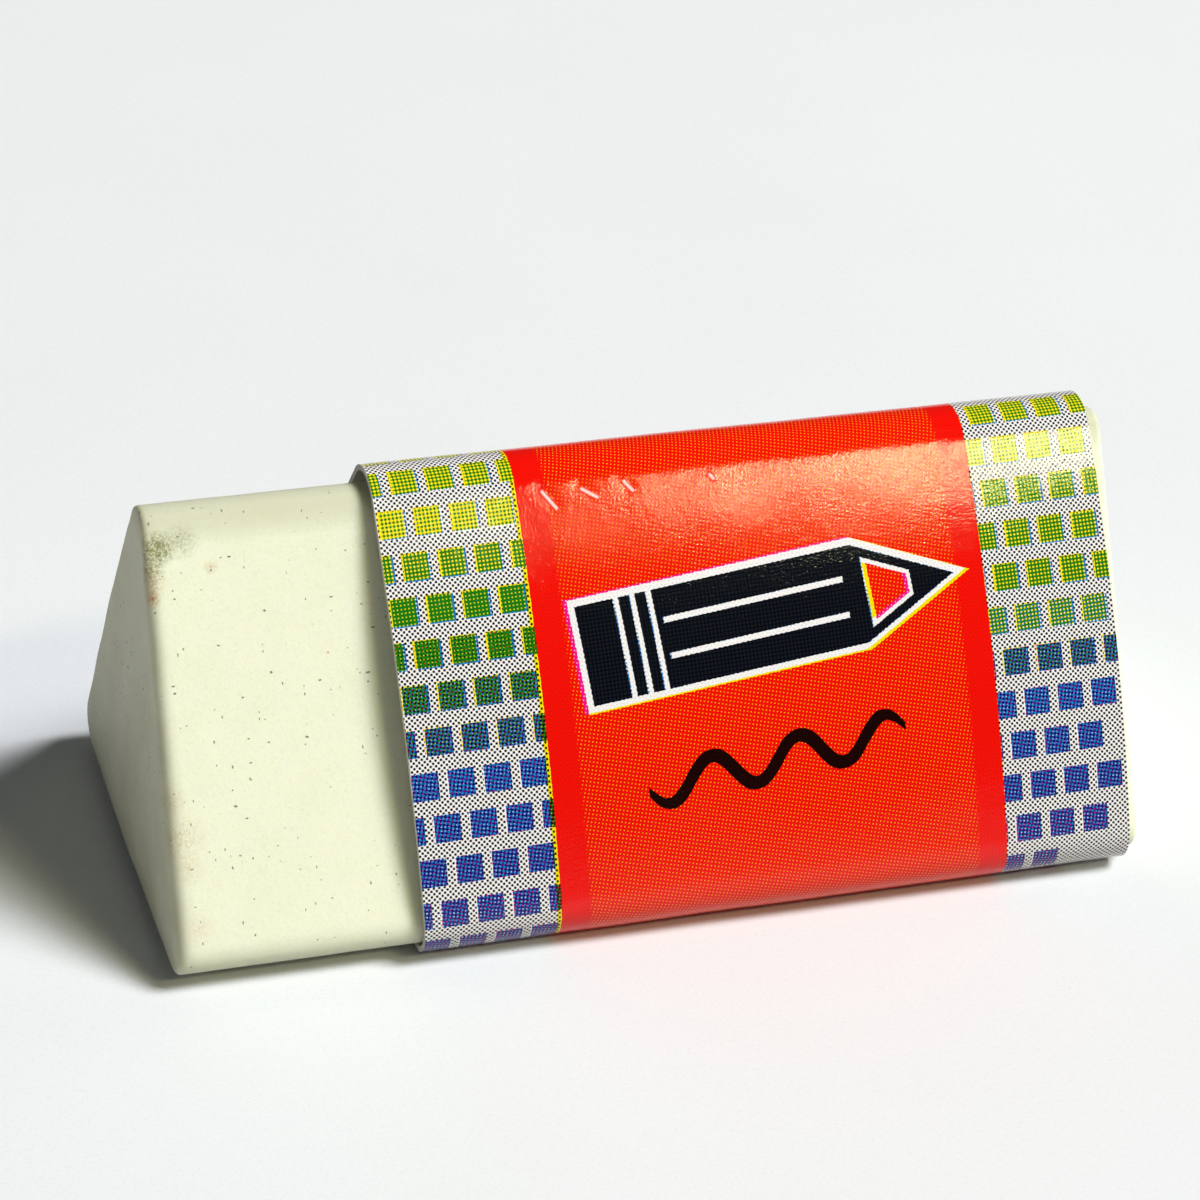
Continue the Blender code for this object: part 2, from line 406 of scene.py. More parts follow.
def sheet_section(up):
    """The middle of the sheet's thickness, as y and z, for an array of places up the sheet."""
    fold = FOLD_LENGTH
    face = FACE_LENGTH
    below = np.clip(up - face - fold, 0.0, None)
    outer = over_face(UPPER_CORNER, BACK_CORNER, below / face, BACK_TURN, outer_flap_offset(below))
    upper = round_fold(UPPER_CORNER, FRONT_TURN, (up - face) / fold)
    front = over_face(FRONT_CORNER, UPPER_CORNER, up / face, FRONT_TURN)
    lower = round_fold(FRONT_CORNER, LOWER_TURN, (up + fold) / fold)
    lower[:, 1] += FRONT_LIFT * (1.0 - smooth_step((up + fold) / fold, 0.0, 1.0))
    under_share = (up + fold + face) / face
    under = over_face(BACK_CORNER, FRONT_CORNER, under_share, LOWER_TURN, bow=0.0)
    under[:, 1] += FRONT_LIFT * smooth_step(under_share, LIFT_START, 1.0)
    rear = round_fold(BACK_CORNER, BACK_TURN, (up + fold + face + fold) / fold)
    inner_share = (up + fold + face + fold + face) / face
    inner = over_face(UPPER_CORNER, BACK_CORNER, inner_share, BACK_TURN)
    edges = (face + fold, face, 0.0, -fold, -fold - face, -fold - face - fold)
    choices = [(up >= edge)[:, None] for edge in edges]
    return np.select(choices, (outer, upper, front, lower, under, rear), inner)


# %% Dents of the paper, and how it runs over the folds
# Each dent is a soft stroke: where it starts and ends, along and up, its half width, and its height
DENTS = (
    (17.55, 17.60, 18.10, 16.90, 0.28, -0.022),
    (19.30, 17.50, 19.80, 17.00, 0.25, -0.020),
    (21.20, 17.62, 21.55, 17.20, 0.28, -0.022),
    (19.00, 19.10, 21.00, 18.50, 0.60, -0.008),
    (21.70, 18.50, 23.20, 18.90, 0.60, -0.008),
    (10.60, 17.60, 11.60, 17.30, 0.30, -0.02),
)
OVERRUN_SLOPE = 4.0 * FACE_BOW / FACE_LENGTH
OVERRUN_REACH = 0.8


def overrun(beyond):
    """Past the end of a bowed face the sheet first runs straight on: -slope * s * exp(-s / reach).

    The slope is that at which the bow's parabola comes in at its end, so that the gloss shows no kink.
    """
    past = np.clip(beyond, 0.0, None)
    return -OVERRUN_SLOPE * past * np.exp(-past / OVERRUN_REACH)


def paper_relief(along, up):
    """How far the sheet stands out: slow waves, a smooth start of each fold, and small dents."""
    places = np.stack((along, up), axis=-1)
    relief = slow_waves(places, 16.0, 3.0, 0.02, seed=11)
    relief = relief + overrun(up - FACE_LENGTH) + overrun(-up)
    for start_along, start_up, end_along, end_up, width, height in DENTS:
        run = np.array((end_along - start_along, end_up - start_up))
        from_start = places - np.array((start_along, start_up))
        share = np.clip(from_start @ run / (run @ run), 0.0, 1.0)
        apart = np.linalg.norm(from_start - share[..., None] * run, axis=-1)
        relief = relief + height * np.exp(-((apart / width) ** 2))
    return relief


# %% The sheet as a closed surface with an outside, an inside and cut edges
LEFT_SKEW = 0.28
RIGHT_SKEW = 0.155
LEFT_SHIFT = 0.05
RIGHT_SHIFT = 0.02
RELIEF_END = (20.0, 23.0)
FACE_MIDDLE = FACE_LENGTH / 2
ROUND_TRIP = 3.0 * (FACE_LENGTH + FOLD_LENGTH)


def spaced(stops, steps):
    """Values from the first stop to the last. Each stretch between two stops has its own count of steps."""
    runs = [np.linspace(low, high, step + 1)[:-1] for low, high, step in zip(stops, stops[1:], steps)]
    return np.append(np.concatenate(runs), stops[-1])


def sheet_rows():
    """The places up the sheet at which it gets a row of points, closest where the upper fold is dented."""
    fold = FOLD_LENGTH
    face = FACE_LENGTH
    hidden = (SHEET_START, -fold - face - fold, -fold - face, -fold)
    shown = (0.0, face - 2.0, face + 1.5, face + fold, SHEET_END)
    return spaced(hidden + shown, (20, 14, 22, 14, 60, 28, 18, 34))


def sheet_columns():
    """Shares of the sheet's length, closest at the dents too."""
    return spaced((0.0, 0.18, 0.46, 1.0), (22, 66, 62))


def sheet_edges(up):
    """The x of the sheet's two cut ends. Both lean a little on the printed face, from a skewed fold."""
    turn = 2 * math.pi * (up - FACE_MIDDLE) / ROUND_TRIP
    left = SLEEVE_LOW[0] + LEFT_SHIFT - LEFT_SKEW * np.sin(turn)
    right = SLEEVE_HIGH[0] + RIGHT_SHIFT - RIGHT_SKEW * np.sin(turn)
    return left, right


def sheet_surfaces():
    """The outer and the inner points of the sheet, and the two numbers that both have in the UV map."""
    up = sheet_rows()
    middle = sheet_section(up)
    tangent = np.gradient(middle, up, axis=0)
    tangent /= np.linalg.norm(tangent, axis=1, keepdims=True)
    normal = np.stack((-tangent[:, 1], tangent[:, 0]), axis=1)
    left, right = sheet_edges(up)
    share = sheet_columns()
    x = mixed(left[:, None], right[:, None], share)
    along = x - BLOCK_LOW[0]
    up_grid = np.repeat(up[:, None], len(share), axis=1)
    started = smooth_step(up_grid, -FOLD_LENGTH, -0.6 * FOLD_LENGTH)
    relief = paper_relief(along, up_grid) * started * (1.0 - smooth_step(up_grid, *RELIEF_END))
    surfaces = []
    for side in (0.5, -0.5):
        stand = relief + side * PAPER_THICKNESS
        section = middle[:, None] + normal[:, None] * stand[..., None]
        surfaces.append(np.concatenate((x[..., None], section), axis=-1))
    return np.stack(surfaces), np.stack((along, up_grid), axis=-1)


def sheet_faces(rows, columns):
    """Outer faces, inner faces and the four strips that close the cut edges, all looking outwards."""
    inner_start = rows * columns
    outer = grid_quads(rows, columns)
    inner = grid_quads(rows, columns, start=inner_start, flip=True)
    row_starts = np.arange(rows) * columns
    last_row = np.arange(columns) + (rows - 1) * columns
    first_row = np.arange(columns)
    left = strip_quads(row_starts, row_starts + inner_start)
    right = strip_quads(row_starts + columns - 1 + inner_start, row_starts + columns - 1)
    start = strip_quads(first_row + inner_start, first_row)
    end = strip_quads(last_row, last_row + inner_start)
    return outer, np.concatenate((inner, left, right, start, end))


def make_sleeve():
    """The sheet. Its printed side takes the first material, its bare paper the second."""
    surfaces, places = sheet_surfaces()
    rows, columns = places.shape[:2]
    printed, bare = sheet_faces(rows, columns)
    faces = printed.tolist() + bare.tolist()
    sleeve = mesh_object("paper_sleeve_printed", surfaces.reshape(-1, 3), faces)
    mesh = sleeve.data
    corner_point = np.zeros(len(mesh.loops), dtype=np.int32)
    mesh.loops.foreach_get("vertex_index", corner_point)
    flat_places = np.tile(places.reshape(-1, 2), (2, 1))
    layer = mesh.uv_layers.new(name="sheet")
    layer.uv.foreach_set("vector", flat_places[corner_point].astype(np.float32).ravel())
    side = np.repeat((0, 1), (len(printed), len(bare))).astype(np.int32)
    mesh.polygons.foreach_set("material_index", side)
    mesh.set_sharp_from_angle(angle=math.radians(50.0))
    return sleeve


sleeve = make_sleeve()
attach(sleeve, "sleeve")
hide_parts("paper_sleeve")

# %% [markdown]
# ## Patterns as formulas
# A finish is worked out by nodes, but a pattern is easier to read as a formula. A Field is one number
# at each point of the surface. Adding or comparing two Fields adds the node that does it, so a formula
# for a pattern looks here as it would on paper.

# %% Fields
def set_inputs(node, values):
    """Links or writes the first inputs of a node: each value is a socket, or a number or tuple."""
    for place, value in enumerate(values):
        if isinstance(value, (float, tuple)):
            node.inputs[place].default_value = value
        else:
            node.id_data.links.new(value, node.inputs[place])


class Field:
    """A number at each point of a surface, held by the socket of a node."""

    def __init__(self, socket):
        self.socket = socket

    def made_by(self, operation, *others, clamped=False):
        """The result of a Math node with this Field as its first value."""
        node = self.socket.id_data.nodes.new("ShaderNodeMath")
        node.operation = operation
        node.use_clamp = clamped
        values = (self, *others)
        set_inputs(node, [value.socket if isinstance(value, Field) else float(value) for value in values])
        return Field(node.outputs[0])

    def __add__(self, other):
        return self.made_by("ADD", other)

    def __sub__(self, other):
        return self.made_by("SUBTRACT", other)

    def __mul__(self, other):
        return self.made_by("MULTIPLY", other)

    def __truediv__(self, other):
        return self.made_by("DIVIDE", other)

    def __gt__(self, other):
        return self.made_by("GREATER_THAN", other)

    def __lt__(self, other):
        return self.made_by("LESS_THAN", other)

    def __neg__(self):
        return self * -1.0

    __radd__ = __add__
    __rmul__ = __mul__

    def __rsub__(self, other):
        return -self + other

    def __abs__(self):
        return self.made_by("ABSOLUTE")

    def at_least(self, other):
        """The larger of this and the other."""
        return self.made_by("MAXIMUM", other)

    def at_most(self, other):
        """The smaller of this and the other."""
        return self.made_by("MINIMUM", other)

    def floor(self):
        """The whole number below."""
        return self.made_by("FLOOR")

    def wrapped(self, size):
        """What is left after whole steps of a size."""
        return self.made_by("FLOORED_MODULO", size)

    def covered(self, softness):
        """1 where this distance is below zero and 0 where it is above, over a soft edge."""
        return self.made_by("MULTIPLY_ADD", -1.0 / softness, 0.5, clamped=True)

    def kept(self):
        """Held between 0 and 1."""
        return self.made_by("ADD", 0.0, clamped=True)


def turned(along, up, turn):
    """A place turned round the origin: (along cos t - up sin t, along sin t + up cos t)."""
    cosine = math.cos(turn)
    sine = math.sin(turn)
    return along * cosine - up * sine, along * sine + up * cosine


# %% Nodes that the finishes share
def new_finish(name):
    """An empty material, with its node tree and its Principled shader."""
    material = bpy.data.materials.new(name)
    material.use_nodes = True
    return material, material.node_tree, material.node_tree.nodes["Principled BSDF"]


def node_on(socket, kind):
    """A new node of a kind, in the socket's node tree, with the socket linked to its first input."""
    node = socket.id_data.nodes.new(kind)
    set_inputs(node, (socket,))
    return node


def vector_node(operation, first, *others):
    """A Vector Math node on a socket, and on more sockets or tuples."""
    node = first.id_data.nodes.new("ShaderNodeVectorMath")
    node.operation = operation
    set_inputs(node, (first, *others))
    return node


def set_values(node, values):
    """Writes plain values to the named inputs of a node."""
    for name, value in values.items():
        node.inputs[name].default_value = value


def in_millimetres(tree):
    """Object coordinates in millimetres, as the socket of a vector."""
    place = tree.nodes.new("ShaderNodeTexCoord")
    return vector_node("MULTIPLY", place.outputs["Object"], (1.0 / MM,) * 3).outputs[0]


def split(vector):
    """The parts of a vector as Fields."""
    return [Field(output) for output in node_on(vector, "ShaderNodeSeparateXYZ").outputs]


def noise(vector, size, detail=2.0, roughness=0.5):
    """Cloudy noise between 0 and 1 whose blotches are about the given size in millimetres."""
    node = node_on(vector, "ShaderNodeTexNoise")
    set_values(node, {"Scale": 1.0 / size, "Detail": detail, "Roughness": roughness})
    return Field(node.outputs["Fac"])


def distance_to(vector, place):
    """The distance in millimetres from a place."""
    return Field(vector_node("DISTANCE", vector, place).outputs["Value"])


def layered(base, colour, share):
    """A colour laid over a base, where a Field says how much of it covers. Base is a colour or a socket."""
    tree = share.socket.id_data
    node = tree.nodes.new("ShaderNodeMix")
    node.data_type = "RGBA"
    for value, slot_name in ((base, "A_Color"), (colour, "B_Color")):
        socket = next(item for item in node.inputs if item.identifier == slot_name)
        if isinstance(value, tuple):
            socket.default_value = (*value, 1.0)
        else:
            tree.links.new(value, socket)
    tree.links.new(share.socket, node.inputs[0])
    return next(item for item in node.outputs if item.identifier == "Result_Color")


def bumped(height, millimetres, normal_socket):
    """Feeds a height Field, which is 1 for the given number of millimetres, to a normal socket."""
    tree = normal_socket.id_data
    node = tree.nodes.new("ShaderNodeBump")
    node.inputs["Distance"].default_value = millimetres * MM
    tree.links.new(height.socket, node.inputs["Height"])
    tree.links.new(node.outputs["Normal"], normal_socket)


# %% [markdown]
# ## The vinyl
# Soft vinyl is a creamy white that lets a little light in, so its edges glow and its shadows stay
# warm. Use leaves the rubbing end greyer, an olive smudge, and specks. A painted shade darkens the
# top and bottom corners all along the block.
# Each mark is a distance or a noise with a threshold, laid over the clean colour.

# %% The colour, the wear and a painted corner shade of the vinyl
VINYL_CLEAN = (0.90, 0.93, 0.735)
GRAPHITE = (0.10, 0.10, 0.07)
OLIVE = (0.30, 0.31, 0.14)
RUST = (0.55, 0.22, 0.05)
WARM = (0.62, 0.50, 0.30)
PINK = (0.78, 0.62, 0.52)
CLOUD_YELLOW = (0.80, 0.82, 0.58)
GRAIN_DARK = (0.66, 0.70, 0.52)
GRAIN_PALE = (1.0, 0.90, 0.80)
HANDLED = (0.45, 0.42, 0.27)
# The grey of the painted shade on the block's top and bottom corners
CORNER_PAINTED_SHADE = (0.50, 0.50, 0.36)


def front_place(along, up):
    """A point on the block's front face, from its distance from the rubbing end and up the slope."""
    outward = np.array((math.cos(FRONT_TURN), math.sin(FRONT_TURN)))
    foot = CORNERS[2] + CORNER_RADIUS * outward
    slope = np.array((outward[1], -outward[0]))
    y, z = foot + slope * up
    return (BLOCK_LOW[0] + along, y, z)


def specks(vector, cell, radius, share):
    """Small specks: at most one in each cell of the given size, most of them left out by chance."""
    cells = node_on(vector, "ShaderNodeTexVoronoi")
    cells.inputs["Scale"].default_value = 1.0 / cell
    chance = split(cells.outputs["Color"])[0]
    apart = Field(cells.outputs["Distance"]) * cell
    kept = (chance - share).covered(0.01)
    size = chance * (radius / share)
    return (apart - size).covered(0.03) * kept


def stretched(vector, scales, shake):
    """A vector scaled along each axis and shaken by noise, which turns round specks into short dashes."""
    shaking = node_on(vector, "ShaderNodeTexNoise")
    shaking.inputs["Scale"].default_value = 4.0
    scaled = vector_node("MULTIPLY", vector, scales)
    moved = vector_node("MULTIPLY_ADD", shaking.outputs["Color"], (shake,) * 3, scaled.outputs[0])
    return moved.outputs[0]


# %% Marks of use
# Each smudge: how far along and up the front face, its radius, its colour and its strength
SMUDGES = (
    (0.9, 16.9, 0.85, OLIVE, 1.7),
    (1.9, 17.1, 0.9, OLIVE, 0.6),
    (0.55, 16.0, 0.7, OLIVE, 0.9),
    (0.5, 15.5, 0.75, RUST, 0.45),
    (0.45, 14.8, 0.45, RUST, 1.0),
    (3.1, 15.9, 0.35, RUST, 0.5),
    (0.35, 6.3, 0.9, WARM, 0.5),
    (0.6, 4.6, 1.3, WARM, 0.5),
    (0.9, 3.3, 0.8, WARM, 0.4),
    (1.0, 0.7, 0.8, PINK, 0.6),
)
# Each kind of dash: how much it is squeezed along x, y and z, its cell, its half width and its share
DASHES = (
    ((1.0, 2.0, 1.4), 0.42, 0.075, 0.22),
    ((2.2, 1.0, 1.0), 0.5, 0.08, 0.20),
)


def finish_vinyl():
    """The vinyl's material."""
    material, tree, shader = new_finish("soft_vinyl_used")
    place = in_millimetres(tree)
    x, y, z = split(place)
    clouds = noise(place, 2.5, detail=4.0)
    grain = noise(place, 0.13, detail=3.0, roughness=0.7)
    from_end = x - BLOCK_LOW[0]
    colour = layered(VINYL_CLEAN, CLOUD_YELLOW, ((clouds - 0.42) * 2.0).kept() * 0.45)
    colour = layered(colour, GRAIN_DARK, ((grain - 0.52) * 4.0).kept() * 0.4)
    colour = layered(colour, GRAIN_PALE, ((0.45 - grain) * 4.0).kept() * 0.4)
    near_end = (1.0 - from_end).kept() * mixed(0.15, 0.6, clouds)
    colour = layered(colour, HANDLED, near_end)
    # Painted shade: grey over the top 1.3 mm and the bottom 1.1 mm of the section, all along the block, where
    # the rounded corners turn away from the light
    top_painted_shade = (z - (BLOCK_HIGH[2] - 1.3)).kept()
    bottom_painted_shade = (BLOCK_LOW[2] + 1.1 - z).kept()
    colour = layered(colour, CORNER_PAINTED_SHADE, top_painted_shade.at_least(bottom_painted_shade) * 0.55)
    speckled = ((noise(place, 0.12, detail=3.0, roughness=0.8) - 0.40) * 4.0).kept()
    for along, up, radius, stain, strength in SMUDGES:
        apart = distance_to(place, front_place(along, up))
        smear = (1.0 - apart / radius).kept() * mixed(0.15, 1.5, speckled)
        colour = layered(colour, stain, (smear * strength).kept())
    for scales, cell, radius, share in DASHES:
        dashes = specks(stretched(place, scales, 0.25), cell, radius, share)
        colour = layered(colour, GRAPHITE, dashes * 0.85)
    colour = layered(colour, RUST, specks(place, 0.9, 0.06, 0.15) * 0.6)
    tree.links.new(colour, shader.inputs["Base Color"])
    set_values(shader, {
        "Roughness": 0.6,
        "Specular IOR Level": 0.3,
        "Subsurface Weight": 0.4,
        "Subsurface Radius": (1.0, 0.9, 0.55),
        "Subsurface Scale": 0.9 * MM,
    })
    relief = noise(place, 0.12, detail=3.0) + noise(place, 0.6, detail=2.0) * 2.0
    bumped(relief, 0.007, shader.inputs["Normal"])
    return material


block.data.materials.append(finish_vinyl())

# %% [markdown]
# ## The print
# Look closely at printed packaging: it is made of tiny dots of four inks, on square screens that are
# turned against each other. Black is at 45 degrees here, and the dots are 0.17 mm apart. The four
# plates never quite meet, so edges show fringes of one ink. Painting with flat colours would miss
# this, so each ink gets its own cover, between 0 and 1, its own shift and its own screen.

# %% Where the print lies on the sheet
PRINT_TURN = -0.0153
PANEL_MIDDLE = (26.955, 8.79)
PANEL_HALF = 10.365
SQUARE = 1.18
SQUARE_PITCH = 1.605
ROW_PITCH = 1.840
FIRST_ROW_UP = 9.90
LEFT_COLUMN = -15.12
RIGHT_COLUMN = 11.445
EDGE = 0.03
print("rows of squares on the printed face: %.1f" % (FACE_LENGTH / ROW_PITCH))


def print_place(tree, shift):
    """Along and up on the print, in millimetres from the panel's middle, for a plate that is shifted."""
    source = tree.nodes.new("ShaderNodeUVMap")
    source.uv_map = "sheet"
    along, up, _ = split(source.outputs["UV"])
    from_middle = along - (PANEL_MIDDLE[0] + shift[0])
    return turned(from_middle, up - (PANEL_MIDDLE[1] + shift[1]), PRINT_TURN)


def panel_cover(along, spread=0.0):
    """1 inside the coloured panel, between its two sides, which may be spread outwards."""
    return (abs(along) - PANEL_HALF - spread).covered(EDGE)


def row_number(up):
    """The number of the row of squares, counted down from the upper fold."""
    return ((FIRST_ROW_UP - up) / ROW_PITCH + 0.5).floor()


def last_column(row):
    """How many pitches the right band's last square lies from its first: fewer in the lowest front rows."""
    fewer = (row > 7.5) * 0.75 + (row > 10.5) * 1.5
    return 3.5 - (row < 12.5) * fewer


def square_cover(along, up):
    """1 inside the small squares. Every other row is shifted by half a pitch."""
    row = row_number(up)
    from_row = abs(FIRST_ROW_UP - up - row * ROW_PITCH)
    origin = mixed(LEFT_COLUMN, RIGHT_COLUMN, along > 0.0)
    odd = row.wrapped(2.0) * (SQUARE_PITCH / 2)
    from_column = (along - origin + odd + SQUARE_PITCH / 2).wrapped(SQUARE_PITCH) - SQUARE_PITCH / 2
    centre = (along - from_column - RIGHT_COLUMN) / SQUARE_PITCH
    drawn = (centre - last_column(row)).covered(0.01)
    return (from_row.at_least(abs(from_column)) - SQUARE / 2).covered(EDGE) * drawn


# %% The screens of dots
DOT_PITCH = 0.1693
INK_SOFTNESS = 0.7
CUT_CUBIC = -4.566
CUT_LINEAR = -2.858
print("dots to the centimetre: %.0f" % (10.0 / DOT_PITCH))


def screened(along, up, cover, turn):
    """Breaks a cover between 0 and 1 into dots.

    A wavy surface, cos a + cos b, has a hill on each dot. It is cut at the height at which the part
    that stands above it has the area that the cover asks for. With c = cover - 0.5, that height is
    close to CUT_CUBIC * c^3 + CUT_LINEAR * c.
    """
    cosine = math.cos(turn) * 2 * math.pi / DOT_PITCH
    sine = math.sin(turn) * 2 * math.pi / DOT_PITCH
    first = (along * cosine + up * sine).made_by("COSINE")
    second = (up * cosine - along * sine).made_by("COSINE")
    centred = cover - 0.5
    cut = centred * (centred * centred * CUT_CUBIC + CUT_LINEAR)
    return (cut - first - second).covered(INK_SOFTNESS)


# %% How much of each ink the rows of squares take
# Each list has rows and covers. Between them the cover fades, and after the last row it starts again.
ROWS_IN_CYCLE = 19
CYAN_ROWS = (
    (0, 0.58), (1, 0.45), (2, 0.74), (3, 0.90), (5, 0.96), (9, 0.96), (11, 0.90), (14, 0.0), (18, 0.5),
)
MAGENTA_ROWS = (
    (0, 0.0), (3, 0.0), (4, 0.17), (5, 0.40), (6, 0.54), (8, 0.60), (11, 0.75), (14, 1.0), (18, 0.1),
)
YELLOW_ROWS = ((0, 1.0), (4, 1.0), (5, 0.8), (6, 0.5), (7, 0.0), (11, 0.0), (14, 0.9), (18, 1.0))
CYAN_PALER = 0.20
MAGENTA_PALER = 0.85


def row_cover(row, stops):
    """Reads an ink's cover for a row from a short list of rows and covers, and fades between them."""
    phase = (row.wrapped(ROWS_IN_CYCLE) + 0.5) / ROWS_IN_CYCLE
    ramp = node_on(phase.socket, "ShaderNodeValToRGB")
    elements = ramp.color_ramp.elements
    while len(elements) < len(stops):
        elements.new(0.5)
    for element, (stop, cover) in zip(elements, stops):
        element.position = (stop + 0.5) / ROWS_IN_CYCLE
        element.color = (cover, cover, cover, 1.0)
    return Field(node_on(ramp.outputs[0], "ShaderNodeSeparateColor").outputs[0])


def paler_rows(along, up):
    """1 in the three rows of the right band, from the fourth down, that are printed paler."""
    row = row_number(up)
    return (row > 2.5) * (row < 5.5) * (along > 0.0)


def inked_squares(along, up, rows, paler=0.0):
    """An ink's cover in the squares: its cover for the row, less a share of it in the paler rows."""
    band = row_cover(row_number(up), rows) * square_cover(along, up)
    return band * (1.0 - paler_rows(along, up) * paler)


# %% [markdown]
# ## The motif on the panel
# The panel carries a plain pictogram of a pencil, in black with a white outline, over a squiggle that
# it might have drawn. Each shape is a distance: below zero inside, above zero outside. A union is the
# smaller of two distances, a cut is the larger of one and the other's negative, and a thin outline is
# the same distance with a margin added.

# %% Where the motif lies
MOTIF_REPEAT = FACE_LENGTH + FOLD_LENGTH
PENCIL_TILT = math.radians(5.0)
PENCIL_MIDDLE = (0.1, 2.3)
PENCIL_HALF = 2.15
KEYLINE = 0.32
GROOVE = 0.13
FAR_AWAY = 100.0


def up_motif(up):
    """Up on the print, wrapped so that the front and the under side each carry the motif once.

    On the back face, where the flaps lap, it is moved far away, so that the panel stays plain there.
    """
    half = MOTIF_REPEAT / 2
    on_back = (up > half) + (up < -half - MOTIF_REPEAT)
    return (up + half).wrapped(MOTIF_REPEAT) - half + on_back * FAR_AWAY


def pencil_place(along, up):
    """Along and across the tilted pencil."""
    return turned(along - PENCIL_MIDDLE[0], up_motif(up) - PENCIL_MIDDLE[1], -PENCIL_TILT)


# %% The pencil: its outline, its wood and its grooves
CAP_END = -8.4
BARREL_END = 4.4
LEAD_START = 6.9
POINT = 8.9
WOOD_INSET = 0.38
WOOD_START = BARREL_END + 0.35
WOOD_OVERLAP = 0.2
FACET_LINE = 0.78
FACET_START = -4.6
FACET_END = 3.8
FERRULE_START = -6.9
FERRULE_END = -4.65
FERRULE_PITCH = 0.75
print("pencil: %.1f mm long, %.1f mm wide" % (POINT - CAP_END, 2 * PENCIL_HALF))


def pencil_outline(along, across):
    """A flat cap, two parallel sides and two sloping ones that meet at the point."""
    slope = math.atan2(PENCIL_HALF, POINT - BARREL_END)
    tip = abs(across) * math.cos(slope) + (along - POINT) * math.sin(slope)
    return tip.at_least(abs(across) - PENCIL_HALF).at_least(CAP_END - along)


def pencil_wood(along, across):
    """The bare wood between barrel and lead, where the panel's colour shows through."""
    sides = pencil_outline(along, across) + WOOD_INSET
    ends = (WOOD_START - along).at_least(along - LEAD_START)
    return sides.at_least(ends)


def pencil_grooves(along, across):
    """White lines: two along the barrel, between its flats, and three across the ferrule."""
    facets = abs(abs(across) - FACET_LINE) - GROOVE
    facets = facets.at_least(FACET_START - along).at_least(along - FACET_END)
    bands = abs((along - FERRULE_START).wrapped(FERRULE_PITCH) - FERRULE_PITCH / 2) - GROOVE
    bands = bands.at_least(FERRULE_START - along).at_least(along - FERRULE_END)
    return facets.at_most(bands)


# %% The squiggle under the pencil
SQUIGGLE_UP = -3.9
SQUIGGLE_HALF = 6.0
SQUIGGLE_TURNS = 1.55
SQUIGGLE_RISE = 0.8
STROKE_HALF = 0.29
STROKE_END = 0.4
TAPER_LENGTH = 1.2


def squiggle_distance(along, up):
    """A stroke along a sine wave: the height over the wave, made shorter where it is steep.

    The stroke tapers towards its ends, to STROKE_END of its width.
    """
    height = (along * SQUIGGLE_TURNS).made_by("SINE") * SQUIGGLE_RISE
    slope = (along * SQUIGGLE_TURNS).made_by("COSINE") * (SQUIGGLE_RISE * SQUIGGLE_TURNS)
    steepness = (slope * slope + 1.0).made_by("SQRT")
    taper = ((SQUIGGLE_HALF - abs(along)) / TAPER_LENGTH).kept() * (STROKE_HALF * (1.0 - STROKE_END))
    over = abs(up_motif(up) - SQUIGGLE_UP - along * math.tan(PENCIL_TILT) - height) / steepness
    line = over - taper - STROKE_HALF * STROKE_END
    return line.at_least(abs(along) - SQUIGGLE_HALF)


def pencil_black(along, up):
    """The distance to the pencil's black parts."""
    along, across = pencil_place(along, up)
    cuts = pencil_wood(along, across).at_most(pencil_grooves(along, across))
    return pencil_outline(along, across).at_least(-cuts)


def panel_left_bare(along, up):
    """1 where the panel's colour is left out for the pencil and its white outline."""
    along, across = pencil_place(along, up)
    near = (pencil_outline(along, across) - KEYLINE).covered(EDGE)
    wood = (pencil_wood(along, across) + WOOD_OVERLAP).covered(EDGE)
    return near * (1.0 - wood)


# %% [markdown]
# ## Four inks on white paper
# Each ink lets part of the light through: cyan stops red, magenta stops green, yellow stops blue.
# Where inks overlap, what they let through is multiplied. A clear laminate lies over all of it, and
# gives the sharp highlights: that is the coat of the shader.

# %% How much of each ink goes where
SOLID_INK = 1.15
BAND_BLACK = 0.41
STRIP_WIDTH = 1.05
STRIP_FADE = 0.35
YELLOW_SPREAD = 0.10
KEYLINE_SHIFT = 0.10
PANEL_TINT = 0.955
BLACK_UNDERLAY = 0.6


def black_cover(along, up):
    """A grey tint round the squares outside the panel, and the motif inside it."""
    panel = panel_cover(along)
    band = BAND_BLACK * (1.0 - square_cover(along, up))
    drawn = pencil_black(along, up).at_most(squiggle_distance(along, up))
    return mixed(band, drawn.covered(EDGE) * SOLID_INK, panel)


def cyan_cover(along, up):
    """The squares, and a layer under the pencil that makes its black deeper."""
    band = inked_squares(along, up, CYAN_ROWS, CYAN_PALER)
    return mixed(band, pencil_black(along, up).covered(EDGE) * BLACK_UNDERLAY, panel_cover(along))


def yellow_cover(along, up):
    """The squares, and the whole panel but for the pencil's place. It overlaps the other plates a little."""
    inside = SOLID_INK * (1.0 - panel_left_bare(along + KEYLINE_SHIFT, up))
    return mixed(inked_squares(along, up, YELLOW_ROWS), inside, panel_cover(along, YELLOW_SPREAD))


def magenta_cover(along, up):
    """The squares, a tint in the panel that leaves fine yellow dots, and solid strips at its sides."""
    band = inked_squares(along, up, MAGENTA_ROWS, MAGENTA_PALER)
    strip = (PANEL_HALF - STRIP_WIDTH - STRIP_FADE / 2 - abs(along)).covered(STRIP_FADE)
    inside = mixed(PANEL_TINT, SOLID_INK, strip) * (1.0 - panel_left_bare(along, up))
    return mixed(band, inside, panel_cover(along))


# %% The four plates
# Each ink: its cover, the light that it lets through, its plate's slip, and its screen's turn in degrees
PAPER_WHITE = (0.92, 0.91, 0.92)
INKS = (
    (yellow_cover, (1.0, 0.86, 0.004), (-0.05, 0.05), 22.0),
    (magenta_cover, (0.97, 0.006, 0.28), (0.04, 0.0), 75.0),
    (cyan_cover, (0.01, 0.24, 0.65), (0.05, 0.0), 1.0),
    (black_cover, (0.010, 0.010, 0.012), (0.0, 0.0), 45.0),
)
print("inks:", len(INKS))
